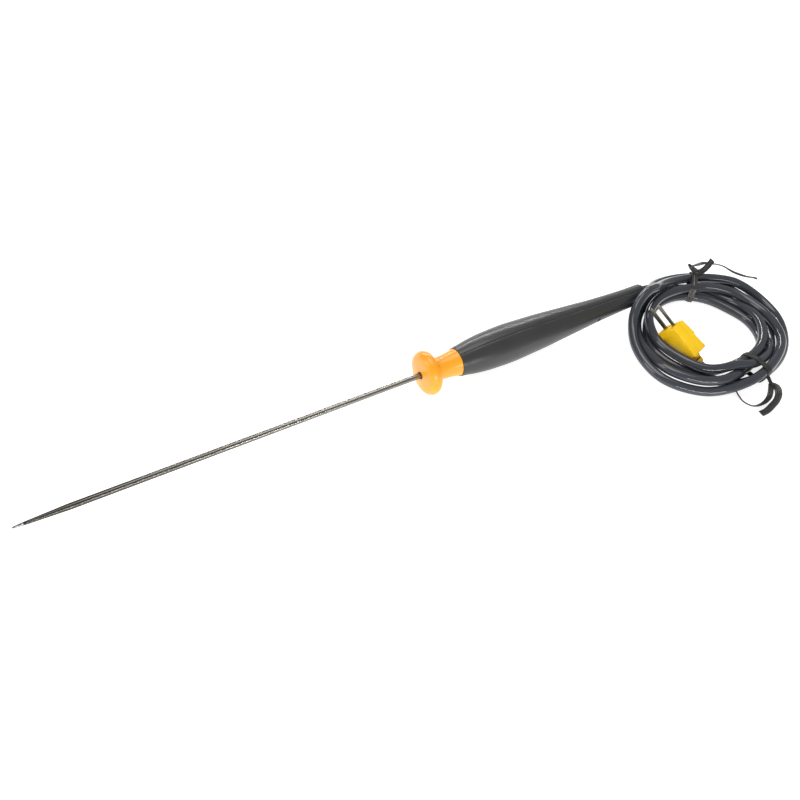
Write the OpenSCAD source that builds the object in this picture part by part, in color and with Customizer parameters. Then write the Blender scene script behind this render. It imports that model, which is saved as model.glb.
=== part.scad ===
// Hand-held thermocouple probe: a long thin steel stem with a tapered tip, a finger-guard collar,
// a moulded grip, and a coiled lead that ends in a flat two-blade plug.
// The probe's axis lies along X, with the tip at -X. It rests on the guard's rim and on the coil.

/* [Stem] */
// Stem length, from the tip to the guard's face
stem_l = 216; // [120:1:260]
// Stem diameter
stem_d = 3.175; // [3:0.025:3.4]
// Length of the bright welded tip
tip_l = 5; // [4:0.5:6]
// Diameter where the taper meets the tip
tip_d = 1.7; // [1.6:0.1:2]
// Length of tip and taper together
taper_l = 25; // [20:1:40]

/* [Guard] */
// Diameter of the finger guard
guard_d = 26; // [25:0.5:30]
// Length of the guard and its neck
collar_l = 24.3; // [22:0.1:27]
// Radius of the neck at its waist
neck_r = 6.7; // [6.5:0.1:7]
// Radius of the neck where it meets the grip
neck_end_r = 8.1; // [7.8:0.1:8.2]

/* [Grip] */
// Length of the grip
grip_l = 143.7; // [138:0.1:150]
// Radius of the grip at its front edge
grip_front_r = 8.6; // [8.4:0.1:9]
// Radius of the grip at its belly
grip_belly_r = 11.7; // [11.2:0.1:12.5]
// Distance from the grip's front edge to its belly
grip_belly_at = 33; // [30:1:38]
// Radius of the grip's rear end
grip_rear_r = 6.3; // [6.1:0.1:6.8]
// Turn of the locating holes from the horizontal
grip_roll = 10; // [0:1:30]

/* [Cable] */
// Cable diameter
cable_d = 5.8; // [5.6:0.1:5.8]
// Outer radius of the coil across its narrow way
coil_r = 48.5; // [48:0.1:49]
// Width of the bundle of turns
bundle_w = 18.2; // [17.5:0.1:18.5]
// Height of the bundle of turns
bundle_h = 9.6; // [9.5:0.1:9.6]
// How much longer than wide the coil is
coil_stretch = 1.24; // [1.2:0.01:1.26]

/* [Plug] */
// Width of the plug's body
plug_w = 16.4; // [16:0.1:17]
// Thickness of the plug's body
plug_t = 8.2; // [8:0.1:8.6]
// Length of the plug's body
plug_l = 22; // [20:0.1:23]
// Length of the blades outside the body
blade_l = 15.5; // [12:0.5:16]
// Distance between the blades' centres
blade_pitch = 7.9; // [7.8:0.1:8]

/* [Hidden] */
$fn = 48;
stem_r = stem_d / 2;
guard_r = guard_d / 2;
cable_r = cable_d / 2;
axis_z = guard_r;
total_l = stem_l + collar_l + grip_l;
tip_x = -total_l / 2;
rear_x = total_l / 2;

// Places along the probe, measured from the tip
face_s = stem_l;
grip_s = face_s + collar_l;
rear_s = total_l;
belly_s = grip_s + grip_belly_at;

// Stem and what is sealed in it
sheath_wall = 0.45;
seat_r = 1.4;             // the sheath is ground down where the collar and bush hold it
seat_wall = 0.4;
tip_bore_r = 0.5;
tip_spigot = 1.5;
tip_nose_r = 0.55;
core_r = seat_r - seat_wall;
bore_front_s = tip_l + 3;
sheath_end_s = face_s + 30;
wire_r = 0.18;
wire_y = 0.3;             // from the axis to each wire in the stem
wire_y_handle = 1.4;      // from the axis to each wire in the grip
junction_s = 10;
junction_r = 0.46;
seal_r = 2.2;
seal_l = 3;

// Collar, bush and inner core
guard_edge_r = 4;         // radius of the guard's round rim
guard_mid = 4.6;          // from the guard's face to the middle of its rim
neck_s = 11.6;            // from the guard's face to the waist of the neck
spigot_r = 6;
spigot_l = 17.7;
bush_r = 3.175;
bush_from = 16;
bush_to = 46;
bush_cavity_r = 2.4;
core_front_r = 7.2;
core_belly_r = 8.6;
core_rear_r = 5;
core_cavity_r = 5.6;
cable_cavity_r = 3.7;
socket_r = 4.1;           // socket of the strain relief
rib_from = 147;
rib_to = 150;
grip_lip = 1.5;           // the grip closes over the core's rear end
grip_bevel = 1.2;
locating_r = 1.3;
locating_s = [127, 159];  // from the guard's face

// Joints of the wires and the cable inside the grip
wire_end = 54;
splice_l = 9;
splice_r = 1.15;
lead_r = 0.8;
jacket_from = 120;
crimp_from = 141;
crimp_wall = 0.75;
boot_l = 8;
boot_r = 4.3;
boot_end_r = 3.4;

// Coil, plug and ties as they lie
coil_at = [216, -40.5];
coil_turn = 18;
coil_floor = 0.5;         // the ties lift the turns off the surface
bundle_edge = 4.5;
plug_at = [180, -37, 19];
plug_roll = -73;
plug_dip = 31;
plug_heading = -68;
rear_half_w = 7.1;
block_l = 11.1;           // the plug's straight front part
split_t = 1.6;            // where base and cover meet, above the plug's middle
cover_mid_t = 5.4;        // top of the cover behind the front block
cover_rear_t = 6.8;       // top of the cover at its rear
screw_seat = 4.2;
blade_t = 0.8;
blade_in = 10;
blade_w = [2.4, 3.2];     // the positive blade is the narrow one
terminal_x = 7.5;
cover_screw_x = 13.2;
boot_from = plug_l;
plug_boot_l = 6.7;
plug_boot_r = 3.6;
tie_w = 4;
tie_t = 0.5;

// The cable's route where it isn't in the bundle: out of the grip over the turns, the turn that
// climbs over the grip's end, and behind the plug
lead_route = [[200, 0, 13], [205, 1.2, 13], [211, 2.6, 13], [217, 3.2, 13], [223, 3, 13]];
bridge_route = [[170, -19.5, 13], [172.5, -16, 13], [175.2, -13, 13.8], [177.8, -11, 15.8],
                [180.8, -9.3, 18], [184, -8, 19.3], [188, -6.9, 19.9], [192, -5.9, 19.7],
                [196, -5, 18.7], [200, -4.5, 17.5], [204, -4.1, 16], [208, -3.8, 14.3],
                [211, -3.3, 13]];
tail_route = [[189.2, -59.7, 4.2], [190.3, -62.3, 3.3], [191.2, -64.6, 3], [192.2, -67, 3]];
cable_sides = 12;

// The ties' loose ends, from each twist outwards
upper_twist = [[249, 5, 10], [247.6, 5.6, 12], [249, 5.4, 14.5]];
upper_tail = [[249, 5.4, 14.5], [256, 3.6, 15.5], [264, 1.5, 13], [272, -1.5, 9], [280, -7, 5.5],
              [288, -12, 3], [294, -15, 1.5]];
lower_twist = [[218.6, -89.5, 6], [218.4, -92, 5], [217, -95, 4]];
lower_tail = [[216.5, -94.5, 3.6], [211, -100, 3.2], [204, -103.3, 2.6], [198.5, -102.5, 2],
              [195.5, -98, 1.5], [194.5, -91, 1]];

// ---- Shared shapes ----

// Children are drawn with Z as the distance from the probe's tip
module on_axis() translate([tip_x, 0, axis_z]) rotate([0, 90, 0]) children();

// Children are drawn with X from the plug's front face to its cable, Y across it, Z through it
module in_plug() translate(plug_at) rotate([plug_roll, plug_dip, plug_heading]) children();

// A solid of revolution from its [radius, distance] outline
module turned(outline) rotate_extrude($fn = 96) polygon(outline);

module ring(r_in, r_out, from, to) turned([[r_in, from], [r_out, from], [r_out, to], [r_in, to]]);

module rod(r, from, to) translate([0, 0, from]) cylinder(r = r, h = to - from);

// A straight piece of wire between two [offset, distance] points, with a bend's knuckle at its end
module wire_piece(a, b) {
    run = norm(b - a);
    translate([0, a[0], a[1]]) rotate([-atan2(b[0] - a[0], b[1] - a[1]), 0, 0])
        cylinder(r = wire_r, h = run, $fn = 24);
    translate([0, b[0], b[1]]) sphere(r = wire_r + 0.05, $fn = 24);
}

// One thermocouple wire, side +1 or -1: from the junction, down the stem and into its splice
module thermo_wire(side) {
    y = [wire_y, wire_y, wire_y_handle, wire_y_handle] * side;
    s = [junction_s, sheath_end_s + 1, face_s + bush_to - 1, face_s + wire_end];
    for (i = [0, 1]) wire_piece([y[i], s[i]], [y[i + 1], s[i + 1]]);
    translate([0, y[3], s[2]]) cylinder(r = wire_r, h = s[3] - s[2], $fn = 24);
}

// A tube or ribbon swept along a route: the section's X lies level, and its Y stands up
function unit(v) = v / norm(v);
function heading(p, i) = unit(p[min(i + 1, len(p) - 1)] - p[max(i - 1, 0)]);
function across(h) = unit(cross(h, [0, 0, 1]));
function section_at(p, i, section) =
    let (h = heading(p, i), a = across(h), u = cross(a, h))
    [for (q = section) p[i] + q[0] * a + q[1] * u];

module swept(p, section) {
    n = len(section);
    rings = [for (i = [0 : len(p) - 1]) each section_at(p, i, section)];
    sides = [for (i = [0 : len(p) - 2], k = [0 : n - 1])
        [i * n + k, i * n + (k + 1) % n, (i + 1) * n + (k + 1) % n, (i + 1) * n + k]];
    first_end = [for (k = [n - 1 : -1 : 0]) k];
    last_end = [for (k = [0 : n - 1]) (len(p) - 1) * n + k];
    polyhedron(rings, concat([first_end, last_end], sides), convexity = 4);
}

function round_section(r) =
    [for (k = [0 : cable_sides - 1]) r * [cos(k * 360 / cable_sides), sin(k * 360 / cable_sides)]];
function ribbon_section(w, t) = [[-w, -t], [w, -t], [w, t], [-w, t]] / 2;

module rounded_box_2d(w, h, r) {
    square([w - 2 * r, h], center = true);
    square([w, h - 2 * r], center = true);
    for (x = [-1, 1], y = [-1, 1]) translate([x * (w / 2 - r), y * (h / 2 - r)]) circle(r);
}

// ---- Stem ----

function taper_r(s) = tip_d / 2 + (stem_r - tip_d / 2) * (s - tip_l) / (taper_l - tip_l);

module sheath() color("slategray") on_axis()
    turned([[tip_bore_r, tip_l], [taper_r(tip_l), tip_l], [stem_r, taper_l], [stem_r, face_s],
            [seat_r, face_s], [seat_r, sheath_end_s], [core_r, sheath_end_s],
            [core_r, taper_l + 2], [tip_bore_r, bore_front_s]]);

module sensing_tip() color("silver") on_axis() {
    nose = [for (a = [0 : 15 : 90]) [tip_nose_r * sin(a), tip_nose_r * (1 - cos(a))]];
    turned(concat(nose, [[tip_d / 2, tip_l], [tip_bore_r, tip_l],
                         [tip_bore_r, tip_l + tip_spigot], [0, tip_l + tip_spigot]]));
}

module insulation_core() color("white") on_axis() difference() {
    turned([[0, tip_l + tip_spigot], [tip_bore_r, tip_l + tip_spigot], [tip_bore_r, bore_front_s],
            [core_r, taper_l + 2], [core_r, sheath_end_s], [0, sheath_end_s]]);
    thermo_wire(1);
    thermo_wire(-1);
    translate([0, 0, junction_s]) sphere(r = junction_r);
}

module wire_positive() color("gray") on_axis() difference() {
    thermo_wire(1);
    translate([0, 0, junction_s]) sphere(r = junction_r);
}

module wire_negative() color("dimgray") on_axis() difference() {
    thermo_wire(-1);
    translate([0, 0, junction_s]) sphere(r = junction_r);
}

module hot_junction() color("darkgray") on_axis() translate([0, 0, junction_s])
    sphere(r = junction_r);

module stem_seal() color("black") on_axis() difference() {
    rod(seal_r, face_s + 0.1, face_s + seal_l);
    rod(stem_r, face_s - 1, face_s + seal_l + 1);
}

// ---- Guard, grip and what they hold ----

// The guard's outline: a shallow dome, a round rim, a hollow back, a waist and a flare
module collar() color("orange") on_axis() translate([0, 0, face_s]) difference() {
    rim_at = [guard_r - guard_edge_r, guard_mid];
    rim = [for (a = [-66 : 12 : 90]) rim_at + guard_edge_r * [cos(a), sin(a)]];
    hollow = [for (a = [15 : 15 : 90])
        [rim_at[0] - (rim_at[0] - neck_r) * sin(a),
         neck_s - (neck_s - guard_mid - guard_edge_r) * cos(a)]];
    flare = [for (f = [0.2 : 0.2 : 1])
        [neck_r + (neck_end_r - neck_r) * f * f, neck_s + (collar_l - neck_s) * f]];
    turned(concat([[0, 0], [4, 0.12], [7.5, 0.45]], rim, hollow, flare,
                  [[spigot_r, collar_l], [spigot_r, collar_l + spigot_l],
                   [0, collar_l + spigot_l]]));
    rod(seal_r, -1, seal_l);
    rod(seat_r, seal_l - 1, bush_from + 1);
    rod(bush_r, bush_from, collar_l + spigot_l + 1);
}

module transition_bush() color("goldenrod") on_axis() translate([0, 0, face_s]) difference() {
    rod(bush_r, bush_from, bush_to);
    rod(seat_r, bush_from - 1, sheath_end_s - face_s);
    rod(bush_cavity_r, sheath_end_s - face_s, bush_to + 1);
}

module potting() color("saddlebrown") on_axis() difference() {
    rod(bush_cavity_r, sheath_end_s, face_s + bush_to);
    thermo_wire(1);
    thermo_wire(-1);
}

// Outside of the stiff core, as [radius, distance from the guard's face]
core_outline = [[core_front_r, collar_l], [core_front_r, collar_l + 5.7], [core_belly_r, 57],
                [core_belly_r - 0.2, 70], [core_rear_r, 150]];
core_end = collar_l + grip_l - grip_lip;

module handle_core() color("dimgray") on_axis() translate([0, 0, face_s]) difference() {
    turned(concat([[spigot_r, collar_l]], core_outline,
                  [[core_rear_r, core_end], [socket_r, core_end], [socket_r, rib_to],
                   [cable_r + 0.1, rib_to], [cable_r + 0.1, rib_from],
                   [cable_cavity_r, rib_from], [cable_cavity_r, rib_from - 7],
                   [core_cavity_r, 110], [core_cavity_r, collar_l + spigot_l],
                   [spigot_r, collar_l + spigot_l]]));
}

// The grip's radius at a distance past its front edge: a quick swell, then a long fall
function swell_r(x) = grip_belly_r - (grip_belly_r - grip_front_r) * pow(1 - x / grip_belly_at, 2);
function fall_r(x) =
    let (f = min(1, (x - grip_belly_at) / (grip_l - 8 - grip_belly_at)))
    grip_rear_r + (grip_belly_r - grip_rear_r) * (1 + cos(180 * f)) / 2;

module grip() color([0.24, 0.25, 0.26]) on_axis() translate([0, 0, face_s]) difference() {
    front = [for (i = [0 : 6]) let (x = grip_belly_at * i / 6) [swell_r(x), collar_l + x]];
    back = [for (i = [1 : 14]) let (x = grip_belly_at + (grip_l - 8 - grip_belly_at) * i / 14)
        [fall_r(x), collar_l + x]];
    turned(concat(front, back,
                  [[grip_rear_r, collar_l + grip_l - grip_bevel],
                   [grip_rear_r - grip_bevel, collar_l + grip_l],
                   [socket_r, collar_l + grip_l], [socket_r, core_end],
                   [core_rear_r, core_end]],
                  [for (i = [len(core_outline) - 1 : -1 : 0]) core_outline[i]]));
    for (s = locating_s) translate([0, 0, s]) rotate([0, 0, grip_roll]) rotate([90, 0, 0])
        cylinder(r = locating_r, h = 12);
}

// One crimped splice, side +1 or -1
module splice(side) on_axis() translate([0, side * wire_y_handle, face_s + wire_end - 4])
    difference() {
        cylinder(r = splice_r, h = splice_l);
        translate([0, 0, -1]) cylinder(r = wire_r, h = 5);
        translate([0, 0, splice_l - 4]) cylinder(r = lead_r, h = 5);
    }

module splice_positive() color("silver") splice(1);
module splice_negative() color("silver") splice(-1);

module insulated_lead(side) on_axis()
    translate([0, side * wire_y_handle, face_s + wire_end + splice_l - 8])
        cylinder(r = lead_r, h = jacket_from - wire_end - splice_l + 8);

module lead_positive() color("gold") insulated_lead(1);
module lead_negative() color("firebrick") insulated_lead(-1);

module cable_end() color("darkslategray") on_axis()
    rod(cable_r, face_s + jacket_from, rear_s + boot_l);

module cable_crimp() color("silver") on_axis() translate([0, 0, face_s])
    ring(cable_r, cable_r + crimp_wall, crimp_from, rib_from);

// The tapered boot at the grip's rear end, with grooves that let it bend
module strain_relief() color([0.1, 0.1, 0.11]) on_axis() {
    grooves = 2;
    groove_w = 1.1;
    pitch = (boot_l - 3) / grooves;
    difference() {
        turned([[cable_r, face_s + rib_to], [socket_r, face_s + rib_to], [socket_r, rear_s],
                [boot_r, rear_s], [boot_r, rear_s + 1.5], [boot_end_r, rear_s + boot_l],
                [cable_r, rear_s + boot_l]]);
        for (i = [0 : grooves - 1]) let (s = rear_s + 2.4 + i * pitch)
            ring(boot_end_r - 0.2, boot_r + 1, s, s + groove_w);
    }
}

// ---- Cable ----

module cable_lead() color([0.23, 0.24, 0.27]) swept(lead_route, round_section(cable_r));

module cable_bridge() color([0.23, 0.24, 0.27]) swept(bridge_route, round_section(cable_r));

module cable_tail() color([0.23, 0.24, 0.27]) swept(tail_route, round_section(cable_r));

// The bundle of turns, with room for the grip's end and its boot, which rest against it
module cable_coil() color([0.25, 0.26, 0.29]) difference() {
    translate([coil_at[0], coil_at[1], coil_floor + bundle_h / 2])
        rotate([0, 0, coil_turn]) scale([coil_stretch, 1, 1]) rotate_extrude($fn = 72)
            translate([coil_r - bundle_w / 2, 0])
                rounded_box_2d(bundle_w, bundle_h, bundle_edge, $fn = 12);
    on_axis() rod(grip_rear_r + 0.4, face_s + 120, rear_s + 0.3);
    on_axis() rod(boot_r + 0.1, rear_s, rear_s + boot_l);
}

// ---- Plug ----

// Outline of the body seen on its broad face: a straight front part, then a slight taper
module plug_outline(inset = 0) {
    half = plug_w / 2 - inset;
    rear = rear_half_w - inset;
    polygon([[inset, -half], [block_l, -half], [plug_l - inset, -rear],
             [plug_l - inset, rear], [block_l, half], [inset, half]]);
}

module blade(side, width) {
    y = side * blade_pitch / 2;
    translate([-blade_l, y - width / 2, -blade_t / 2]) difference() {
        cube([blade_l + blade_in, width, blade_t]);
        translate([blade_l + terminal_x, width / 2, -1]) cylinder(r = 0.85, h = 3);
    }
}

module plug_base() color("gold") in_plug() difference() {
    translate([0, 0, -plug_t / 2]) linear_extrude(plug_t / 2 + split_t) plug_outline();
    // terminal pocket
    translate([0, 0, -blade_t / 2]) linear_extrude(plug_t) intersection() {
        plug_outline(1.5);
        translate([2.4, -plug_w]) square([14, 2 * plug_w]);
    }
    // slots that hold the blades
    for (i = [0, 1]) blade([-1, 1][i], blade_w[i]);
    // channel for the cable, threads of the screws, recessed panel on the broad face
    translate([15, 0, 0]) rotate([0, 90, 0]) cylinder(r = cable_r, h = 20);
    for (side = [-1, 1]) translate([terminal_x, side * blade_pitch / 2, -2.6])
        cylinder(r = 0.8, h = 4);
    translate([cover_screw_x, 0, -2.6]) cylinder(r = 0.9, h = 4);
    translate([1.6, -plug_w / 2 + 1.4, -plug_t / 2 - 1]) cube([3.6, plug_w - 2.8, 1.35]);
}

module plug_cover() color("gold") in_plug() difference() {
    intersection() {
        translate([0, 0, split_t]) linear_extrude(plug_t) plug_outline();
        rotate([90, 0, 0]) linear_extrude(2 * plug_w, center = true)
            polygon([[0, split_t], [plug_l, split_t], [plug_l, cover_rear_t - 0.6],
                     [plug_l - 0.8, cover_rear_t], [block_l + 0.3, cover_mid_t],
                     [block_l, cover_mid_t - 0.3], [0, plug_t / 2]]);
    }
    translate([0, 0, split_t - 1]) linear_extrude(2) intersection() {
        plug_outline(1.5);
        translate([2.4, -plug_w]) square([9, 2 * plug_w]);
    }
    translate([15, 0, 0]) rotate([0, 90, 0]) cylinder(r = cable_r, h = 20);
    translate([cover_screw_x, 0, 0]) cylinder(r = 1.1, h = screw_seat + 1);
    translate([cover_screw_x, 0, screw_seat]) cylinder(r = 2.1, h = 3);
}

// The soft boot behind the plug, with one pair of slots so that it bends
module plug_boot() color("gold") in_plug() difference() {
    translate([boot_from, 0, 0]) rotate([0, 90, 0])
        cylinder(r1 = plug_boot_r + 0.3, r2 = plug_boot_r, h = plug_boot_l);
    translate([boot_from - 1, 0, 0]) rotate([0, 90, 0]) cylinder(r = cable_r, h = 20);
    for (side = [-1, 1]) translate([boot_from + 3.2, side * 4.4 - 4, -4])
        cube([1.2, 8, 8] - [0, 0.6, 0]);
}

module blade_positive() color("darkgray") in_plug() blade(-1, blade_w[0]);
module blade_negative() color("gray") in_plug() blade(1, blade_w[1]);

module terminal_screws() color("silver") in_plug()
    for (side = [-1, 1]) translate([terminal_x, side * blade_pitch / 2, -2.4]) {
        cylinder(r = 0.8, h = 2.9);
        translate([0, 0, 2 + blade_t]) difference() {
            cylinder(r = 1.6, h = 1.2);
            translate([-2, -0.2, 0.7]) cube([4, 0.4, 1]);
        }
    }

module cover_screw() color("silver") in_plug() translate([cover_screw_x, 0, 0]) difference() {
    union() {
        translate([0, 0, -2.4]) cylinder(r = 0.9, h = screw_seat + 2.5);
        translate([0, 0, screw_seat]) cylinder(r = 1.95, h = 1.1);
    }
    translate([-2.5, -0.25, screw_seat + 0.6]) cube([5, 0.5, 1]);
}

// ---- Ties ----

// A flat tie round the bundle: the band crosses it at a place, facing a heading
module tie_band(at, facing, span) translate([at[0], at[1], 0]) rotate([0, 0, facing])
    translate([0, tie_w / 2, (bundle_h + 2 * tie_t) / 2]) rotate([90, 0, 0])
        linear_extrude(tie_w) difference() {
            rounded_box_2d(span + 2 * tie_t, bundle_h + 2 * tie_t, bundle_edge + tie_t);
            rounded_box_2d(span, bundle_h, bundle_edge);
        }

module tie_upper() color([0.13, 0.13, 0.11]) {
    tie_band([239.5, -3.5], 42, 26);
    swept(upper_twist, round_section(1.5));
    swept(upper_tail, ribbon_section(3, 0.6));
}

module tie_lower() color([0.13, 0.13, 0.11]) {
    tie_band([217, -80.4], 97, 19.4);
    swept(lower_twist, round_section(1.5));
    swept(lower_tail, ribbon_section(3, 0.6));
}

sheath();
sensing_tip();
insulation_core();
wire_positive();
wire_negative();
hot_junction();
stem_seal();
collar();
handle_core();
grip();
transition_bush();
potting();
splice_positive();
splice_negative();
lead_positive();
lead_negative();
cable_end();
cable_crimp();
strain_relief();
cable_lead();
cable_coil();
cable_bridge();
cable_tail();
plug_base();
plug_cover();
plug_boot();
blade_positive();
blade_negative();
terminal_screws();
cover_screw();
tie_upper();
tie_lower();
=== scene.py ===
import math

import bmesh
import bpy
import numpy as np
from mathutils import Matrix, Vector


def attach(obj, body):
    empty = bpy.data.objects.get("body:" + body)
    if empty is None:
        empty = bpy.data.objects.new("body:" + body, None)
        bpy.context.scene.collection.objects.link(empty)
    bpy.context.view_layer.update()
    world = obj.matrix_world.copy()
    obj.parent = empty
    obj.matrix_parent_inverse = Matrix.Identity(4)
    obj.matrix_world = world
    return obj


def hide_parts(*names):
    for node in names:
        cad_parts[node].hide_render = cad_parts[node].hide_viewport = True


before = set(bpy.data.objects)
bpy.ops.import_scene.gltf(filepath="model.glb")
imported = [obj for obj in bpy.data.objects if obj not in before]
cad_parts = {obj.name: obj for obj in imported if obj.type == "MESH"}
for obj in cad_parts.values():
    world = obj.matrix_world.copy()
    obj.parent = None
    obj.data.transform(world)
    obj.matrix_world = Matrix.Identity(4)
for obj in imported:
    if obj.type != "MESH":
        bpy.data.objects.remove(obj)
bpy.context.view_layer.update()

# ---- Viewpoint, floor and studio light ----
# The probe lies on a plain white table and is looked at from above, from the left of its near
# side. Broad soft boxes light it, and two narrow strips draw the bright lines along the cable.
mm = 0.001

view_right = Vector((0.8619, -0.5010, 0.0780)).normalized()
view_up = Vector((0.3314, 0.6731, 0.6612)).normalized()
view_back = view_right.cross(view_up).normalized()
view_up = view_back.cross(view_right)
camera = bpy.data.objects.new("viewpoint", bpy.data.cameras.new("viewpoint"))
camera.data.sensor_width = 36
camera.data.lens = 33.26
camera.data.shift_y = 0.0013
camera.data.clip_start = 0.01
turned_to = Matrix((view_right, view_up, view_back)).transposed().to_4x4()
camera.matrix_world = Matrix.Translation(Vector((-150.1, -230.3, 313.0)) * mm) @ turned_to
bpy.context.collection.objects.link(camera)
bpy.context.scene.camera = camera
bpy.context.scene.view_settings.view_transform = "Standard"


def add(tree, kind, values=(), **settings):
    """Adds a node to a tree. A value is a number, a colour or another node's output."""
    made = tree.nodes.new(kind)
    for name, value in settings.items():
        setattr(made, name, value)
    for socket, value in dict(values).items():
        if isinstance(value, bpy.types.NodeSocket):
            tree.links.new(value, made.inputs[socket])
        else:
            made.inputs[socket].default_value = value
    return made


def blended(tree, share, deep, pale):
    """A colour between two, by a share from 0 to 1."""
    mix = add(tree, "ShaderNodeMix", data_type="RGBA")
    tree.links.new(share, mix.inputs[0])
    for socket, colour in ((6, deep), (7, pale)):
        if isinstance(colour, bpy.types.NodeSocket):
            tree.links.new(colour, mix.inputs[socket])
        else:
            mix.inputs[socket].default_value = (*colour, 1)
    return mix.outputs[2]


def ranged(tree, value, low, high, to_low, to_high):
    """A value's range, stretched onto another."""
    return add(tree, "ShaderNodeMapRange", {"Value": value, "From Min": low, "From Max": high,
                                            "To Min": to_low, "To Max": to_high}).outputs["Result"]


def moulded(name, deep, pale, rough=(0.4, 0.5), blotch=60, grain=1600, relief=0.02, **shader):
    """A finish with cloudy colour, uneven gloss and a fine grain whose height is in millimetres."""
    made = bpy.data.materials.new(name)
    made.use_nodes = True
    tree = made.node_tree
    surface = tree.nodes["Principled BSDF"]
    place = add(tree, "ShaderNodeTexCoord").outputs["Object"]
    cloud = add(tree, "ShaderNodeTexNoise", {"Vector": place, "Scale": blotch, "Detail": 5})
    fine = add(tree, "ShaderNodeTexNoise", {"Vector": place, "Scale": grain, "Detail": 3})
    share = ranged(tree, cloud.outputs["Fac"], 0.3, 0.7, 0, 1)
    tree.links.new(blended(tree, share, deep, pale), surface.inputs["Base Color"])
    gloss = ranged(tree, fine.outputs["Fac"], 0.3, 0.7, *rough)
    tree.links.new(gloss, surface.inputs["Roughness"])
    bump = add(tree, "ShaderNodeBump", {"Height": fine.outputs["Fac"], "Distance": relief * mm})
    tree.links.new(bump.outputs["Normal"], surface.inputs["Normal"])
    for socket, value in shader.items():
        surface.inputs[socket.replace("_", " ")].default_value = value
    return made


def soft_light(name, place, aim, width, height, power, colour=(1, 1, 1)):
    lamp = bpy.data.lights.new(name, "AREA")
    lamp.shape, lamp.size, lamp.size_y = "RECTANGLE", width, height
    lamp.energy, lamp.color = power, colour
    made = bpy.data.objects.new(name, lamp)
    made.location = place
    made.rotation_euler = (Vector(aim) - Vector(place)).to_track_quat("-Z", "Y").to_euler()
    bpy.context.collection.objects.link(made)


soft_light("top_box", (0.05, 0.25, 1.1), (0.05, 0, 0), 1.0, 0.5, 5)
soft_light("left_box", (-0.9, 0.35, 0.5), (0.1, 0, 0), 0.4, 0.6, 2.5)
soft_light("near_strip", (-0.15, -0.85, 0.22), (0.15, 0, 0), 0.9, 0.03, 4.5)
soft_light("far_strip", (0.35, 0.75, 0.42), (0.15, 0, 0), 0.9, 0.03, 4)
world = bpy.data.worlds.new("studio")
world.use_nodes = True
world.node_tree.nodes["Background"].inputs["Color"].default_value = (1, 1, 1, 1)
world.node_tree.nodes["Background"].inputs["Strength"].default_value = 0.4
bpy.context.scene.world = world

floor_mesh = bpy.data.meshes.new("floor")
floor_mesh.from_pydata([(-4, -4, 0), (4, -4, 0), (4, 4, 0), (-4, 4, 0)], [], [(0, 1, 2, 3)])
floor_mesh.materials.append(moulded("table_top", (0.62, 0.62, 0.62), (0.65, 0.65, 0.65), (0.7, 0.8),
                                    blotch=3, grain=300, relief=0.01, Specular_IOR_Level=0.1,
                                    Emission_Color=(1, 1, 1, 1), Emission_Strength=0.8))
floor = bpy.data.objects.new("floor", floor_mesh)
bpy.context.collection.objects.link(floor)

# ---- Stem ----
# A drawn stainless sheath, 1/8 inch across, swaged to a taper and closed by a welded tip that is
# ground bright. Painted shade makes the steel darker toward the tip and lighter near the guard.
axis_z = 13
tip_x = -192


def mesh_of(name, build, sharp=35):
    """Makes a mesh from a bmesh, smooth but for its real edges, with its faces turned outward."""
    bmesh.ops.recalc_face_normals(build, faces=build.faces)
    mesh = bpy.data.meshes.new(name)
    build.to_mesh(mesh)
    build.free()
    mesh.shade_smooth()
    mesh.set_sharp_from_angle(angle=math.radians(sharp))
    return mesh


def turned(name, outline, angles=None, relief=None, sharp=35):
    """A turned piece on the probe's axis, from its closed outline of (radius, distance from tip)."""
    build = bmesh.new()
    angles = np.radians(np.arange(0, 360, 3.75)) if angles is None else angles
    rings = []
    for radius, reach in outline:
        x = (tip_x + reach) * mm
        if radius < 1e-6:
            rings.append([build.verts.new((x, 0, axis_z * mm))])
            continue
        ring = []
        for angle in angles:
            r = (radius + (relief(angle, radius, reach) if relief else 0)) * mm
            ring.append(build.verts.new((x, r * math.cos(angle), axis_z * mm + r * math.sin(angle))))
        rings.append(ring)
    for a, b in zip(rings, rings[1:] + rings[:1]):
        for i in range(len(angles)):
            corners = [a[i % len(a)], b[i % len(b)], b[(i + 1) % len(b)], a[(i + 1) % len(a)]]
            corners = list(dict.fromkeys(corners))
            if len(corners) > 2:
                build.faces.new(corners)
    return mesh_of(name, build, sharp)


def piece(name, mesh, finish, slot, *nodes):
    """Puts a mesh in the scene as a piece of the probe that stands for CAD nodes."""
    made = bpy.data.objects.new(name, mesh)
    bpy.context.collection.objects.link(made)
    mesh.materials.clear()
    mesh.materials.append(finish)
    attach(made, "root")
    if nodes:
        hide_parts(*nodes)
    return made


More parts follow.
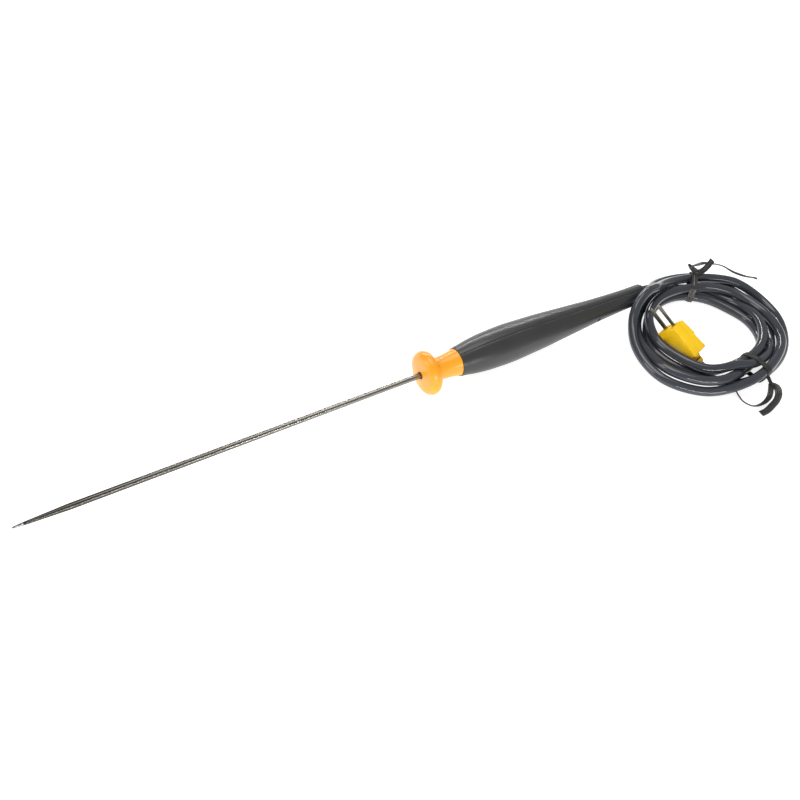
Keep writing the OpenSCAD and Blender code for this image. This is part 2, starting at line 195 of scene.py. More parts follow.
def drawn_steel(name, plain_colour, tip_shaded_colour, rough, **shader):
    """Drawn metal: fine scratches along its length, and painted shade that darkens it toward the
    probe's tip.
    """
    made = moulded(name, plain_colour, plain_colour, (rough, rough + 0.1), blotch=40, grain=2000, relief=0.004,
                   Metallic=1.0, **shader)
    tree = made.node_tree
    surface = tree.nodes["Principled BSDF"]
    place = add(tree, "ShaderNodeTexCoord").outputs["Object"]
    along = add(tree, "ShaderNodeSeparateXYZ", {"Vector": place}).outputs["X"]
    # painted shade: the colour darkens from the guard end toward the probe's tip
    painted_tip_shade = ranged(tree, along, -0.18, 0.0, 1, 0)
    long_way = add(tree, "ShaderNodeMapping", {"Vector": place, "Scale": (12, 900, 900)})
    scratch = add(tree, "ShaderNodeTexNoise", {"Vector": long_way.outputs["Vector"], "Scale": 1.0,
                                               "Detail": 4})
    worn = ranged(tree, scratch.outputs["Fac"], 0.3, 0.7, -0.12, 0.12)
    share = add(tree, "ShaderNodeMath", {0: painted_tip_shade, 1: worn}, operation="ADD", use_clamp=True)
    tree.links.new(blended(tree, share.outputs[0], plain_colour, tip_shaded_colour), surface.inputs["Base Color"])
    gloss = ranged(tree, scratch.outputs["Fac"], 0.3, 0.7, rough, rough + 0.14)
    tree.links.new(gloss, surface.inputs["Roughness"])
    return made


stem_steel = drawn_steel("stem_steel", (0.27, 0.26, 0.235), (0.07, 0.066, 0.058), 0.15,
                         Specular_Tint=(0.1, 0.1, 0.1, 1))
tip_steel = drawn_steel("tip_steel", (0.5, 0.5, 0.5), (0.33, 0.33, 0.33), 0.16,
                        Specular_Tint=(0.2, 0.2, 0.2, 1))
stem_r = 1.5875
tip_r = 0.85
swage = [(tip_r + (stem_r - tip_r) * f, 5 + 20 * f) for f in np.linspace(0, 0.94, 10)]
stem_outline = ([(0.5, 5.05), (0.78, 5.0), (tip_r, 5.1)] + swage[1:]
                + [(stem_r - 0.01, 24.6), (stem_r, 26)]
                + [(stem_r, s) for s in range(36, 216, 15)]
                + [(stem_r, 216), (1.4, 216.2), (1.4, 246), (1.0, 246), (1.0, 27), (0.5, 8)])
piece("probe_stem", turned("probe_stem", stem_outline), stem_steel, "stem_steel", "sheath")

nose = [(0.55 * math.sin(a), 0.55 * (1 - math.cos(a))) for a in np.radians(np.arange(0, 91, 10))]
bead = [(0.83, 4.3), (0.9, 4.55), (0.9, 4.8), (0.83, 4.98)]
piece("welded_tip", turned("welded_tip", nose + [(0.7, 2.5)] + bead + [(0.5, 5), (0.5, 6.5), (0, 6.5)]),
      tip_steel, "tip_steel", "sensing_tip")

# ---- Wires in the stem ----
# Two thermocouple alloy wires run side by side through packed mineral powder and are welded
# together in a bead inside the tip. They come out of the powder in the resin-filled bush.
mineral = moulded("packed_mineral", (0.78, 0.76, 0.72), (0.88, 0.87, 0.84), (0.8, 0.9),
                  blotch=900, grain=5000, relief=0.03)
alloy = drawn_steel("thermo_alloy", (0.52, 0.5, 0.46), (0.5, 0.48, 0.44), 0.3)


def dress(finish, *nodes):
    """Gives CAD nodes whose shape is right their finish."""
    for name in nodes:
        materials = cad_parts[name].data.materials
        if not materials:
            materials.append(finish)
        for i in range(len(materials)):
            materials[i] = finish


dress(mineral, "insulation_core")
dress(alloy, "wire_positive", "wire_negative", "hot_junction")

# ---- Shadow in the guard's bore ----
# A near-black ring fills the bore round the stem where it enters the guard: painted shadow of the
# bore. It has a slightly raised, uneven lip.
# painted shadow: the ring's near-black colour stands for shade in the bore
bore_shadow_finish = moulded("painted_bore_shadow", (0.012, 0.01, 0.009), (0.03, 0.025, 0.02), (0.35, 0.55),
                  blotch=700, grain=3500, relief=0.08)
bore_shadow_outline = [(1.59, 215.75), (1.8, 215.6), (2.05, 215.7), (2.2, 215.95), (2.2, 219), (1.59, 219)]
piece("bore_shadow_ring", turned("bore_shadow_ring", bore_shadow_outline,
                               relief=lambda a, r, s: 0.06 * math.sin(3 * a + 1) * (s < 216)),
      bore_shadow_finish, "seal_rubber", "stem_seal")

# ---- Guard ----
# The finger guard and neck are one orange moulding in nylon: a domed flange with a full round
# rim and a hollow back, then a waist that flares out to meet the grip. A spigot carries on inside.
guard_s = 216
guard_r = 13
rim_r = 4
rim_from_face = 4.6
waist_r = 6.7
waist_s = 11.6
flare_r = 8.1
neck_l = 24.3
rim = [(guard_r - rim_r + rim_r * math.cos(a), rim_from_face + rim_r * math.sin(a))
       for a in np.radians(np.arange(-66, 91, 6))]
hollow = [(guard_r - rim_r - (guard_r - rim_r - waist_r) * math.sin(a),
           waist_s - (waist_s - rim_from_face - rim_r) * math.cos(a))
          for a in np.radians(np.arange(6, 91, 6))]
flare = [(waist_r + (flare_r - waist_r) * f * f, waist_s + (neck_l - 0.25 - waist_s) * f)
         for f in np.linspace(0.1, 1, 12)]
guard_outline = ([(2.2, 0.15), (2.5, 0.0), (4, 0.12), (6, 0.3), (7.5, 0.45), (9, 0.68)] + rim[1:]
                 + hollow + flare + [(flare_r - 0.2, neck_l), (6, neck_l), (6, 42), (3.175, 42),
                                     (3.175, 16), (1.4, 16), (1.4, 3), (2.2, 3)])
nylon = moulded("orange_nylon", (0.93, 0.345, 0.008), (0.97, 0.4, 0.014), (0.26, 0.34), blotch=50,
                grain=1400, relief=0.012, Subsurface_Weight=0.05, Coat_Weight=0.15)
nylon.node_tree.nodes["Principled BSDF"].inputs["Subsurface Radius"].default_value = (1, 0.5, 0.2)
nylon.node_tree.nodes["Principled BSDF"].inputs["Subsurface Scale"].default_value = 0.002
piece("finger_guard", turned("finger_guard", [(r, guard_s + s) for r, s in guard_outline],
                             angles=np.radians(np.arange(0, 360, 2.5))),
      nylon, "orange_plastic", "collar")

# ---- Grip ----
# A soft dark elastomer moulded over the stiff core, swelling to a belly behind the guard and
# falling to a slim rear end. The mould left a fine line along it, and two pins left blind holes.
belly = np.array([(0, 8.55), (0.5, 8.7), (2, 8.92), (4.1, 9.15), (7.3, 9.75), (10.5, 10.24),
                  (16.8, 10.97), (26.6, 11.5), (33.1, 11.69), (40, 11.64), (46.4, 11.34),
                  (60.1, 10.68), (74.1, 9.69), (88.4, 8.63), (103.1, 7.57), (118.1, 6.81),
                  (130, 6.42), (142.5, 6.3)])
grip_s = guard_s + neck_l
grip_l = 143.7


def smooth_line(points, step):
    """Points about step apart on one smooth curve through the given ones."""
    p = np.array(points, float)
    s = np.concatenate([[0], np.cumsum(np.linalg.norm(np.diff(p, axis=0), axis=1))])
    gap = np.diff(s)[:, None]
    pace = np.diff(p, axis=0) / gap
    slope = np.empty_like(p)
    slope[1:-1] = (pace[:-1] * gap[1:] + pace[1:] * gap[:-1]) / (gap[:-1] + gap[1:])
    slope[0], slope[-1] = pace[0], pace[-1]
    at = np.linspace(0, s[-1], max(2, int(s[-1] / step) + 1))
    i = np.clip(np.searchsorted(s, at, side="right") - 1, 0, len(p) - 2)
    h = gap[i]
    f = ((at - s[i])[:, None]) / h
    return ((2 * f**3 - 3 * f**2 + 1) * p[i] + (f**3 - 2 * f**2 + f) * h * slope[i]
            + (3 * f**2 - 2 * f**3) * p[i + 1] + (f**3 - f**2) * h * slope[i + 1])


swell = [(r, grip_s + s) for s, r in smooth_line(belly, 1.6)]
grip_end_r = 6.3
bevel_r = 1.2
bevel = [(grip_end_r - bevel_r * (1 - math.cos(a)), grip_s + grip_l - bevel_r * (1 - math.sin(a)))
         for a in np.radians(np.arange(10, 91, 10))]
core_side = [(4.1, 384), (4.1, 382.5), (5, 382.5), (5, 366), (8.4, 286), (8.6, 273), (7.2, 246),
             (7.2, 240.3)]
front_lip = [(8.2, grip_s), (8.4, grip_s + 0.03)]
mould_line_at = (108, 288)
groove_depth = 0.3
groove_half_w = 0.24


def parting(angle, radius, reach):
    """The groove of the mould's parting line, along both sides of the grip's outside."""
    if radius < 6 or reach < grip_s + 1:
        return 0
    offs = [(angle - math.radians(at)) * radius for at in mould_line_at]
    return -sum(groove_depth * math.exp(-(off / groove_half_w) ** 2) for off in offs)


beside_line = (-2, -1.2, -0.6, 0, 0.6, 1.2, 2)
around = sorted(set(np.round(np.arange(0, 360, 2.5), 3))
                | {at + d for at in mould_line_at for d in beside_line})
grip_mesh = turned("grip_skin", front_lip + swell + bevel + core_side,
                   angles=np.radians(around), relief=parting, sharp=40)
elastomer = moulded("grip_elastomer", (0.024, 0.025, 0.025), (0.036, 0.036, 0.035), (0.3, 0.38),
                    blotch=35, grain=1900, relief=0.018, Specular_IOR_Level=0.55)


def pin_hole(reach, turn, radius, depth_to):
    """A cutter for a blind hole that runs straight in toward the axis, down to a radius."""
    pin_l = 12
    build = bmesh.new()
    bmesh.ops.create_cone(build, cap_ends=True, segments=28, radius1=radius * mm,
                          radius2=radius * mm, depth=pin_l * mm)
    out = Vector((0, math.cos(turn), math.sin(turn)))
    place = Vector((tip_x + reach, 0, axis_z)) * mm + out * (depth_to + pin_l / 2) * mm
    build.transform(Matrix.Translation(place) @ out.to_track_quat("Z", "Y").to_matrix().to_4x4())
    return mesh_of("pin_hole", build)


def settle(made):
    """Makes what an object's modifiers give its plain mesh."""
    graph = bpy.context.evaluated_depsgraph_get()
    mesh = bpy.data.meshes.new_from_object(made.evaluated_get(graph), preserve_all_data_layers=True,
                                           depsgraph=graph)
    made.modifiers.clear()
    made.data = mesh
    mesh.name = made.name
    return mesh


def cut(mesh, cutters):
    """A closed mesh with closed cutters taken out of it."""
    made = bpy.data.objects.new(mesh.name, mesh)
    bpy.context.collection.objects.link(made)
    tools = []
    for cutter in cutters:
        tool = bpy.data.objects.new("cutter", cutter)
        bpy.context.collection.objects.link(tool)
        step = made.modifiers.new("cut", "BOOLEAN")
        step.operation, step.solver, step.object = "DIFFERENCE", "EXACT", tool
        tools.append(tool)
    result = settle(made)
    result.set_sharp_from_angle(angle=math.radians(35))
    for tool in tools:
        bpy.data.objects.remove(tool)
    bpy.data.objects.remove(made)
    return result


hole_turn = math.radians(190)
hole_r = 1.3
grip_mesh = cut(grip_mesh, [pin_hole(guard_s + 127, hole_turn, hole_r, 5.6),
                            pin_hole(guard_s + 159, hole_turn, hole_r, 5.15)])
piece("grip_skin", grip_mesh, elastomer, "grip_rubber", "grip")

# ---- Inside the grip ----
# A stiff core holds the guard's spigot and a brass bush that is filled with resin. There the
# bare wires are crimped to the cable's two insulated leads, and a ferrule grips the cable.
dress(moulded("core_plastic", (0.16, 0.16, 0.17), (0.22, 0.22, 0.23), (0.5, 0.6), blotch=80),
      "handle_core")
dress(drawn_steel("bush_brass", (0.72, 0.53, 0.24), (0.6, 0.42, 0.18), 0.25), "transition_bush")
dress(moulded("amber_resin", (0.2, 0.11, 0.055), (0.28, 0.16, 0.09), (0.12, 0.2), blotch=300,
              Coat_Weight=0.4), "potting")
tinned = drawn_steel("tinned_metal", (0.7, 0.7, 0.69), (0.62, 0.62, 0.61), 0.26)
dress(tinned, "splice_positive", "splice_negative", "cable_crimp", "terminal_screws", "cover_screw")
dress(moulded("yellow_insulation", (0.78, 0.55, 0.03), (0.86, 0.64, 0.06), (0.35, 0.45)),
      "lead_positive")
dress(moulded("red_insulation", (0.5, 0.03, 0.025), (0.62, 0.05, 0.04), (0.35, 0.45)),
      "lead_negative")

# ---- Boot at the grip's rear ----
# A short tapered rubber boot is moulded on the cable and held in the core's socket. Two grooves
# let it bend where the cable leaves the grip.
boot_rubber = moulded("boot_rubber", (0.02, 0.02, 0.021), (0.034, 0.034, 0.035), (0.42, 0.55),
                      blotch=200, relief=0.02)
boot_outline = [(2.9, 366), (4.1, 366), (4.1, 384), (4.3, 384.1), (4.3, 385.2), (4.15, 386.3),
                (3.25, 386.45), (3.25, 387.4), (4.0, 387.55), (3.87, 388.8), (3.25, 388.95),
                (3.25, 389.9), (3.7, 390.05), (3.45, 391.7), (3.3, 392), (2.9, 392)]
piece("tapered_boot", turned("tapered_boot", boot_outline), boot_rubber, "boot_rubber",
      "strain_relief")

# ---- Cable ----
# About 1.3 m of round 5.8 mm cable with a smooth blue-grey jacket. It leaves the boot and lies in
# nearly five oval turns that cross over each other, one of which climbs over the grip's end.
cable_r = 2.9
coil_centre = np.array([216.0, -40.5])
coil_turn = math.radians(18)
coil_stretch = 1.24
# Each turn runs clockwise: angle, radius across the narrow way, height of the cable's middle
turns = [
    [(60, 48, 5), (44, 49, 3.4), (30, 48, 3), (0, 42.8, 3), (-30, 40.6, 3), (-60, 39, 3.2),
     (-90, 37.9, 7.4), (-120, 36.9, 9), (-150, 35.4, 8.4), (-180, 32.4, 8), (-210, 34.4, 8),
     (-240, 36.1, 8), (-270, 36, 8)],
    [(60, 33.9, 8), (30, 34.6, 8), (0, 35.3, 8), (-30, 37.9, 8), (-60, 43, 8), (-90, 43.8, 8),
     (-120, 44.7, 6.6), (-150, 46.3, 3.2), (-180, 47, 3.2), (-205, 45.7, 4.4), (-219, 45.4, 6.2),
     (-228, 45.6, 8.6), (-235, 46, 12), (-241, 45.7, 16), (-247, 44.6, 18.9), (-254, 43, 19.5),
     (-262, 41.6, 17.5), (-272, 41, 14.6), (-284, 41, 12.2), (-295, 41.4, 10.4)],
    [(46, 42.8, 8.3), (30, 43.6, 7.8), (0, 46.4, 6), (-30, 48.9, 3.2), (-60, 47.4, 3),
     (-90, 44.5, 3), (-120, 41.2, 3), (-150, 35.6, 3), (-180, 34.7, 3), (-210, 36.8, 3),
     (-240, 36, 3), (-270, 36.4, 3)],
    [(60, 33.4, 3), (30, 29, 3), (0, 27, 3), (-30, 30, 3), (-60, 33.3, 3), (-90, 33.7, 3),
     (-110, 35.4, 3.6), (-125, 38.7, 7), (-138, 41.9, 8), (-150, 43, 8), (-180, 42.8, 6.8),
     (-210, 40.9, 4.4), (-240, 41, 3), (-270, 41, 3)],
    [(60, 40.4, 3), (30, 36.5, 3.2), (0, 32.7, 4.4), (-30, 32.2, 7), (-60, 32.3, 8),
     (-90, 32.4, 8), (-110, 31.8, 8), (-125, 31.3, 6.3), (-138, 31, 4)],
]
lead = [(200, 0, 13), (203.5, 1.4, 12.2), (207, 3.4, 10.9), (213, 5.9, 9), (219.7, 7.4, 7.2)]
tail = [(193.8, -68, 3.2), (191.6, -64.9, 3.1), (190.3, -62.4, 3.3), (189.2, -59.8, 4.1)]


def on_coil(angle, radius, height):
    a = math.radians(angle)
    x, y = coil_stretch * radius * math.cos(a), radius * math.sin(a)
    return (coil_centre[0] + x * math.cos(coil_turn) - y * math.sin(coil_turn),
            coil_centre[1] + x * math.sin(coil_turn) + y * math.cos(coil_turn), height)


laid = lead + [on_coil(*place) for turn in turns for place in turn] + tail
rest = smooth_line(laid, 1.6)

# Turns that would press into each other move apart until they just touch. They also stay clear
# of the table, and of the grip's end and its boot.
touch = 2 * cable_r + 0.06
table_gap = 0.12
grip_end_x, past_boot_x = 193, 200
boot_r = 4.3
same_stretch = 14
rounds = 150
line = rest.copy()
number = np.arange(len(line))
apart = np.abs(number[:, None] - number[None]) > same_stretch
for _ in range(rounds):
    gap = line[:, None] - line[None]
    far = np.linalg.norm(gap, axis=2) + 1e-9
    near = np.where(apart & (far < touch), (touch - far) / far, 0)
    push = 0.35 * (near[:, :, None] * gap).sum(axis=1)
    line = line + push
    moved = line - rest
    moved[1:-1] = 0.5 * moved[1:-1] + 0.25 * (moved[:-2] + moved[2:])
    moved[:3] = moved[-4:] = 0
    line = rest + moved
    line[:, 2] = np.maximum(line[:, 2], cable_r + table_gap)
    off = np.hypot(line[:, 1], line[:, 2] - axis_z)
    room = np.where(line[:, 0] < grip_end_x, grip_end_r, boot_r) + cable_r + 0.1
    close = (line[:, 0] < past_boot_x) & (off < room) & (number > 10)
    outward = np.where(close, room / np.maximum(off, 0.1), 1)
    line[:, 1] *= outward
    line[:, 2] = axis_z + (line[:, 2] - axis_z) * outward
line = smooth_line(line, 1.3)

carrier_mesh = bpy.data.meshes.new("cable_route")
carrier_mesh.from_pydata([tuple(p) for p in line * mm], [(i, i + 1) for i in range(len(line) - 1)], [])
cable = bpy.data.objects.new("coiled_cable", carrier_mesh)
bpy.context.collection.objects.link(cable)

jacket = moulded("cable_jacket", (0.033, 0.036, 0.045), (0.042, 0.045, 0.056), (0.07, 0.11),
                 blotch=45, grain=1100, relief=0.003, Specular_IOR_Level=0.55)

# Fine lines from the extruder run along the jacket, deeper at some places than at others
tree = jacket.node_tree
run = add(tree, "ShaderNodeAttribute", attribute_name="run").outputs["Fac"]
side = add(tree, "ShaderNodeAttribute", attribute_name="side").outputs["Fac"]
die_lines = 23
grooves = add(tree, "ShaderNodeMath", {0: side, 1: 2 * math.pi * die_lines}, operation="MULTIPLY")
ripple = add(tree, "ShaderNodeMath", {0: grooves.outputs[0]}, operation="SINE")
slow = add(tree, "ShaderNodeTexNoise", {"W": run, "Scale": 90, "Detail": 2}, noise_dimensions="1D")
draw_lines = add(tree, "ShaderNodeMath", {0: ripple.outputs[0], 1: slow.outputs["Fac"]},
                 operation="MULTIPLY")
fine_bump = next(n for n in tree.nodes if n.type == "BUMP")
jacket_bump = add(tree, "ShaderNodeBump", {"Height": draw_lines.outputs[0], "Distance": 0.0005 * mm,
                                           "Normal": fine_bump.outputs["Normal"]})
tree.links.new(jacket_bump.outputs["Normal"], tree.nodes["Principled BSDF"].inputs["Normal"])

grow_tube = bpy.data.node_groups.new("extruded_jacket", "GeometryNodeTree")
for socket_name, kind in (("Route", "NodeSocketGeometry"), ("Cable Radius", "NodeSocketFloat"),
                          ("Sides", "NodeSocketInt"), ("Jacket", "NodeSocketMaterial")):
    grow_tube.interface.new_socket(socket_name, in_out="INPUT", socket_type=kind)
grow_tube.interface.new_socket("Cable", in_out="OUTPUT", socket_type="NodeSocketGeometry")
given = add(grow_tube, "NodeGroupInput").outputs
path = add(grow_tube, "GeometryNodeMeshToCurve", {"Mesh": given["Route"]})
spline = add(grow_tube, "GeometryNodeSplineParameter")
marked = add(grow_tube, "GeometryNodeStoreNamedAttribute",
             {"Geometry": path.outputs["Curve"], "Name": "run", "Value": spline.outputs["Length"]},
             data_type="FLOAT", domain="POINT")
circle = add(grow_tube, "GeometryNodeCurvePrimitiveCircle",
             {"Resolution": given["Sides"], "Radius": given["Cable Radius"]})
circle_spline = add(grow_tube, "GeometryNodeSplineParameter")
circle_marked = add(grow_tube, "GeometryNodeStoreNamedAttribute",
                    {"Geometry": circle.outputs["Curve"], "Name": "side",
                     "Value": circle_spline.outputs["Factor"]}, data_type="FLOAT", domain="POINT")
tube = add(grow_tube, "GeometryNodeCurveToMesh",
           {"Curve": marked.outputs["Geometry"], "Profile Curve": circle_marked.outputs["Geometry"],
            "Fill Caps": True})
smooth = add(grow_tube, "GeometryNodeSetShadeSmooth", {"Geometry": tube.outputs["Mesh"]})
real = add(grow_tube, "GeometryNodeRealizeInstances", {"Geometry": smooth.outputs["Geometry"]})
coloured = add(grow_tube, "GeometryNodeSetMaterial",
               {"Geometry": real.outputs["Geometry"], "Material": given["Jacket"]})
add(grow_tube, "NodeGroupOutput", {"Cable": coloured.outputs["Geometry"]})


def grow(made, tree, values):
    """Runs a geometry tree on an object with its inputs set, and keeps the result as its mesh."""
    step = made.modifiers.new("grow", "NODES")
    step.node_group = tree
    for item in tree.interface.items_tree:
        if item.item_type == "SOCKET" and item.in_out == "INPUT" and item.name in values:
            step[item.identifier] = values[item.name]
    return settle(made)


grow(cable, grow_tube, {"Cable Radius": cable_r * mm, "Sides": 24, "Jacket": jacket})
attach(cable, "root")
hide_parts("cable_lead", "cable_coil", "cable_bridge", "cable_tail")
dress(jacket, "cable_end")

# ---- Plug ----
# A miniature flat two-blade thermocouple plug in yellow plastic: a base and a cover that meet
# along a fine seam, held by one screw. The front block is a little wider than the rear part.
plug_at = Matrix.Translation(Vector((180, -37, 19)) * mm)
plug_turn = (Matrix.Rotation(math.radians(-68), 4, "Z") @ Matrix.Rotation(math.radians(31), 4, "Y")
             @ Matrix.Rotation(math.radians(-73), 4, "X"))
plug_frame = plug_at @ plug_turn
yellow = moulded("plug_yellow", (0.86, 0.52, 0.004), (0.95, 0.61, 0.008), (0.33, 0.42), blotch=90,
                 grain=1700, relief=0.012, Subsurface_Weight=0.08)
yellow.node_tree.nodes["Principled BSDF"].inputs["Subsurface Scale"].default_value = 0.001


def prism(name, outline, low, high, round_by=0.5, frame_at=plug_frame):
    """A flat-sided piece with rounded edges, from its outline in the plug's own frame."""
    build = bmesh.new()
    bottom = [build.verts.new((x * mm, y * mm, low * mm)) for x, y in outline]
    top = [build.verts.new((x * mm, y * mm, high * mm)) for x, y in outline]
    build.faces.new(bottom[::-1])
    build.faces.new(top)
    for i in range(len(outline)):
        j = (i + 1) % len(outline)
        build.faces.new([bottom[i], bottom[j], top[j], top[i]])
    if round_by:
        bmesh.ops.bevel(build, geom=list(build.edges), offset=round_by * mm, segments=3,
                        profile=0.6, affect="EDGES", clamp_overlap=True)
    build.transform(frame_at)
    return mesh_of(name, build, 40)


def box(x0, x1, y0, y1, z0, z1, round_by=0):
    return prism("cutter", [(x0, y0), (x1, y0), (x1, y1), (x0, y1)], z0, z1, round_by)


def bore(x0, x1, radius, frame_at=plug_frame):
    """A cutter for a round channel, along the plug unless its frame is turned."""
    build = bmesh.new()
    bmesh.ops.create_cone(build, cap_ends=True, segments=32, radius1=radius * mm,
                          radius2=radius * mm, depth=(x1 - x0) * mm)
    build.transform(frame_at @ Matrix.Translation(((x0 + x1) / 2 * mm, 0, 0))
                    @ Matrix.Rotation(math.radians(90), 4, "Y"))
    return mesh_of("bore", build)


def rounded(mesh, by):
    """The mesh with its sharp edges rounded."""
    build = bmesh.new()
    build.from_mesh(mesh)
    bmesh.ops.remove_doubles(build, verts=build.verts, dist=0.01 * mm)
    bmesh.ops.dissolve_limit(build, angle_limit=math.radians(2), verts=build.verts,
                             edges=build.edges)
    edges = [e for e in build.edges if e.calc_face_angle(0) > math.radians(25)]
    bmesh.ops.bevel(build, geom=edges, offset=by * mm, segments=3, profile=0.6, affect="EDGES",
                    clamp_overlap=True)
    return mesh_of(mesh.name, build, 40)


half = 8.2
block_l = 11.1
plug_l = 22
rear_half = 7.15
one_side = [(0, half), (block_l, half), (block_l + 0.4, half - 0.45), (plug_l - 0.5, rear_half),
            (plug_l, rear_half - 0.45)]
body = [(x, -y) for x, y in one_side] + one_side[::-1]
pocket = [(2.4, -6.4), (11, -6.4), (16, -5.4), (16, 5.4), (11, 6.4), (2.4, 6.4)]
base = prism("plug_body_base", body, -4.1, 1.57)
base = cut(base, [prism("cutter", pocket, -0.4, 4, 0), bore(15, 24, cable_r),
                  box(1.6, 5.2, -6.8, 6.8, -6, -3.7, 0.3), box(6.3, 6.7, -6.8, 6.8, -6, -3.9)])
piece("plug_body_base", base, yellow, "plug_plastic", "plug_base")

# The cover rises from the front block to a thicker rear, where it clamps the cable
above = [(-1, 4.1), (0, 4.1), (10.4, 5.6), (11.1, 5.2), (14, 5.5), (21.3, 6.8), (22, 6.2), (23, 6.2),
         (23, 12), (-1, 12)]
cover = cut(prism("plug_body_cover", body, 1.63, 9, 0),
            [prism("cutter", above, -12, 12, 0, plug_frame @ Matrix.Rotation(math.pi / 2, 4, "X"))])
cover = rounded(cover, 0.4)
screw_recess = bore(4.2, 12, 2.1, plug_frame @ Matrix.Translation((13.2 * mm, 0, 0))
                    @ Matrix.Rotation(math.radians(-90), 4, "Y"))
cover = cut(cover, [box(2.4, 11.4, -6.4, 6.4, 0, 2.6), bore(15, 24, cable_r), screw_recess])
piece("plug_body_cover", cover, yellow, "plug_plastic", "plug_cover")

# ---- Boot of the plug ----
# A short neck of the same yellow, softer, holds the cable behind the plug. A pair of slots on
# opposite sides lets it bend.
boot_build = bmesh.new()
neck = [(cable_r, 22), (4.3, 22), (4.4, 22.3), (4.2, 24.1), (3.8, 24.7), (3.7, 25.7), (3.9, 26.3),
        (3.85, 27.9), (3.5, 28.6), (cable_r, 28.7)]
neck_rings = []
for radius, reach in neck:
    ring = [boot_build.verts.new((reach * mm, radius * mm * math.cos(a), radius * mm * math.sin(a)))
            for a in np.radians(np.arange(0, 360, 7.5))]
    neck_rings.append(ring)
for a, b in zip(neck_rings, neck_rings[1:] + neck_rings[:1]):
    for i in range(len(a)):
        j = (i + 1) % len(a)
        boot_build.faces.new([a[i], a[j], b[j], b[i]])
boot_build.transform(plug_frame)
neck_mesh = cut(mesh_of("plug_neck", boot_build),
                [box(24.8, 26, 1.2, 6, -2.4, 2.4), box(24.8, 26, -6, -1.2, -2.4, 2.4)])
piece("plug_neck", neck_mesh, moulded("plug_neck_yellow", (0.8, 0.46, 0.004), (0.9, 0.55, 0.008),
                                      (0.4, 0.5), blotch=150), "plug_boot_rubber", "plug_boot")

# ---- Blades ----
# Two flat blades stamped from the thermocouple alloys stick out of the plug's front. The
# positive one is narrower, and both have chamfered ends.
stamped = drawn_steel("stamped_alloy", (0.24, 0.225, 0.18), (0.2, 0.19, 0.15), 0.24)
blade_pitch = 7.9
blade_end = -15.5
blade_in = 10
blade_t = 0.8
for name, node, side_y, width in (("narrow_blade", "blade_positive", -blade_pitch / 2, 2.4),
                                  ("wide_blade", "blade_negative", blade_pitch / 2, 3.2)):
    w = width / 2
    blade_outline = [(blade_end, side_y - w + 0.7), (blade_end + 0.8, side_y - w),
                     (blade_in, side_y - w), (blade_in, side_y + w),
                     (blade_end + 0.8, side_y + w), (blade_end, side_y + w - 0.7)]
    piece(name, prism(name, blade_outline, -blade_t / 2, blade_t / 2, 0.12), stamped,
          "blade_alloy", node)

# ---- Ties ----
# Two black twist ties bind the turns. Each is a flat plastic ribbon with a wire along its middle,
# passed round the bundle and twisted on itself, and its two ends stick out.
ribbon_w = 4.0
ribbon_t = 0.4
wire_bulge = 0.42
tie_black = moulded("tie_black", (0.01, 0.01, 0.008), (0.022, 0.022, 0.017), (0.3, 0.45),
                    blotch=260, grain=1300, relief=0.05, Specular_IOR_Level=0.6)


def strip(build, route, sides, width=ribbon_w, closed=False):
    """Adds a ribbon along a route to a bmesh. sides is the way its width points at each place."""
    p, w = np.array(route, float), np.array(sides, float)
    ahead = np.roll(p, -1, axis=0) - np.roll(p, 1, axis=0)
    if not closed:
        ahead[0], ahead[-1] = p[1] - p[0], p[-1] - p[-2]
    ahead /= np.linalg.norm(ahead, axis=1)[:, None]
    w = w - (w * ahead).sum(axis=1)[:, None] * ahead
    w /= np.linalg.norm(w, axis=1)[:, None]
    face = np.cross(ahead, w)
    h, t = width / 2, ribbon_t / 2
    upper_side = [(-h, t), (-0.62, t), (-0.3, wire_bulge), (0.3, wire_bulge), (0.62, t), (h, t)]
    section = [(u, -v) for u, v in upper_side] + upper_side[::-1]
    rings = [[build.verts.new((p[i] + u * w[i] + v * face[i]) * mm) for u, v in section]
             for i in range(len(p))]
    for a, b in zip(rings, rings[1:] + (rings[:1] if closed else [])):
        for i in range(len(section)):
            j = (i + 1) % len(section)
            build.faces.new([a[i], a[j], b[j], b[i]])
    if not closed:
        build.faces.new(rings[0])
        build.faces.new(rings[-1][::-1])


def band(build, at, facing):
    """Adds the band that lies snugly round the turns where a plane crosses them."""
    span = np.array([math.cos(facing), math.sin(facing)])
    across = np.array([-span[1], span[0]])
    rel = line[:, :2] - np.array(at)
    here = (np.abs(rel @ across) < 2.2) & (np.abs(rel @ span) < 22)
    middles = np.stack([rel[here] @ span, line[here, 2]], axis=1)
    a = np.radians(np.arange(0, 360, 10))
    edge = np.stack([np.cos(a), np.sin(a)], axis=1) * (cable_r + 0.3)
    cloud = sorted({tuple(np.round(q, 3)) for q in (middles[:, None] + edge[None]).reshape(-1, 2)})

    def half_hull(points):
        kept = []
        for q in points:
            while len(kept) > 1 and ((kept[-1][0] - kept[-2][0]) * (q[1] - kept[-2][1])
                                     - (kept[-1][1] - kept[-2][1]) * (q[0] - kept[-2][0])) <= 0:
                kept.pop()
            kept.append(q)
        return kept[:-1]

    hull = np.array(half_hull(cloud) + half_hull(cloud[::-1]))
    loop = np.vstack([hull, hull[:1]])
    s = np.concatenate([[0], np.cumsum(np.linalg.norm(np.diff(loop, axis=0), axis=1))])
    even = np.linspace(0, s[-1], 91)[:-1]
    ring = np.stack([np.interp(even, s, loop[:, k]) for k in (0, 1)], axis=1)
    ring[:, 1] = np.maximum(ring[:, 1], 0.45)
    p = np.column_stack([at[0] + ring[:, 0] * span[0], at[1] + ring[:, 0] * span[1], ring[:, 1]])
    strip(build, p, np.tile([across[0], across[1], 0], (len(p), 1)), closed=True)


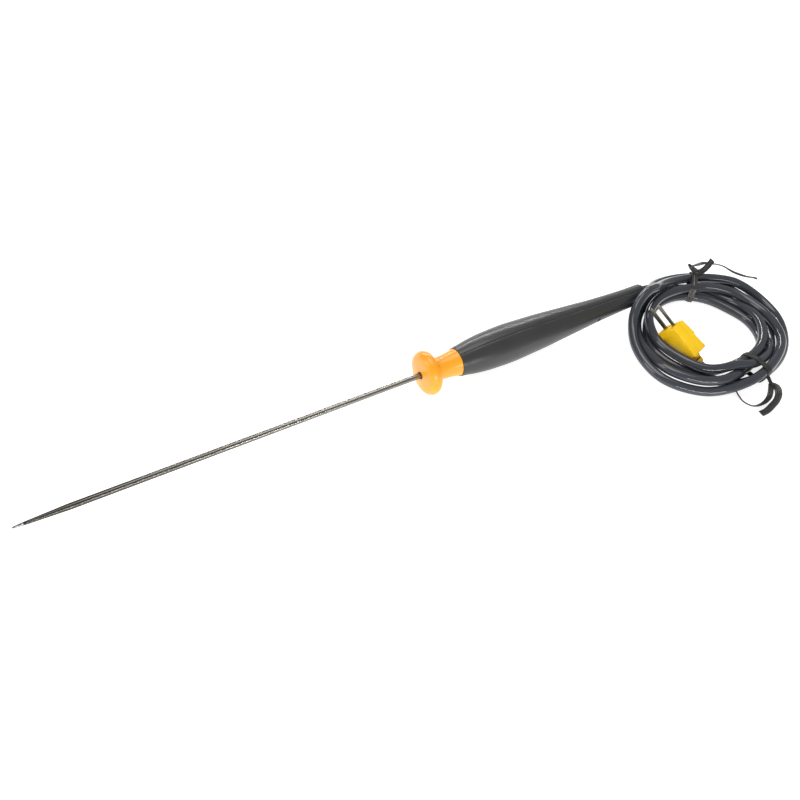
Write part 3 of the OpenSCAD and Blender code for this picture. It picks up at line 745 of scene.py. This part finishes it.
def leaning(route):
    """Widths for a route of (x, y, z, lean): at 0 the ribbon stands on edge, at 90 it lies flat."""
    dense = smooth_line(np.array(route) * (1, 1, 1, 0.05), 0.6)
    p, lean = dense[:, :3], np.radians(dense[:, 3] / 0.05)
    ahead = np.gradient(p, axis=0)
    level = np.cross(ahead, (0, 0, 1))
    level /= np.linalg.norm(level, axis=1)[:, None] + 1e-9
    stand = np.cross(level, ahead)
    stand /= np.linalg.norm(stand, axis=1)[:, None]
    return p, np.cos(lean)[:, None] * stand + np.sin(lean)[:, None] * level


def twist(build, start, end, half_turns, width=2.6):
    """Adds the two ribbons wound round each other between two places."""
    start, end = np.array(start, float), np.array(end, float)
    along = (end - start) / np.linalg.norm(end - start)
    a = np.cross(along, (0, 0, 1))
    a /= np.linalg.norm(a)
    b = np.cross(along, a)
    f = np.linspace(0, 1, 12 * half_turns)[:, None]
    turn = math.pi * half_turns * f
    wide = np.cos(turn) * a + np.sin(turn) * b
    out = -np.sin(turn) * a + np.cos(turn) * b
    for way in (-1, 1):
        strip(build, start + (end - start) * f + way * 0.5 * out, wide, width)


upper = bmesh.new()
band(upper, (239.5, -3.5), math.radians(42))
twist(upper, (248.8, 3.2, 10.2), (244.2, 7, 13.4), 6, 3.0)
strip(upper, *leaning([(244.6, 6.4, 13, 60), (243.4, 3.4, 13.6, 100), (244.6, -0.3, 12.8, 125),
                       (248.8, -0.6, 13, 125), (254.2, 0.3, 15, 125), (258.3, 1.5, 17.5, 125)]))
strip(upper, *leaning([(244.6, 6.6, 13, 62), (248, 4.2, 15, 76), (252.1, 3.2, 15.7, 80),
                       (256, 2.2, 15.2, 78), (259.7, 1.4, 14, 72), (265.3, 0.9, 12, 70),
                       (271.3, -0.6, 9.5, 76), (277.9, -5.6, 6, 84), (285.8, -10.9, 3.5, 80),
                       (291.6, -13.1, 2, 70), (294.5, -15.1, 1.6, 80)]), width=3.0)
lower = bmesh.new()
band(lower, (217, -80.4), math.radians(97))
twist(lower, (218.3, -88.2, 6.8), (216.5, -94.2, 4.9), 6, 3.0)
strip(lower, *leaning([(216.6, -93.2, 5, 90), (217.9, -96.5, 5, 110), (215.8, -100.5, 4, 120),
                       (211.6, -103.1, 3, 110), (206.7, -104.5, 2.2, 100), (200.6, -105.6, 1.2, 95),
                       (196.9, -105.3, 0.6, 90)]))
strip(lower, *leaning([(216.6, -93.4, 5, 90), (213.4, -96.2, 4.6, 95), (208.5, -99.6, 3.5, 115),
                       (202, -100.9, 2.4, 128), (195.6, -99.1, 1.9, 130), (193.3, -94.3, 1.9, 138),
                       (194.6, -88.9, 1.8, 148), (196.6, -84.9, 1.7, 153)]), width=3.2)
for name, ribbons, node in (("twist_tie_upper", upper, "tie_upper"),
                            ("twist_tie_lower", lower, "tie_lower")):
    piece(name, mesh_of(name, ribbons, 30), tie_black, "tie_plastic", node)
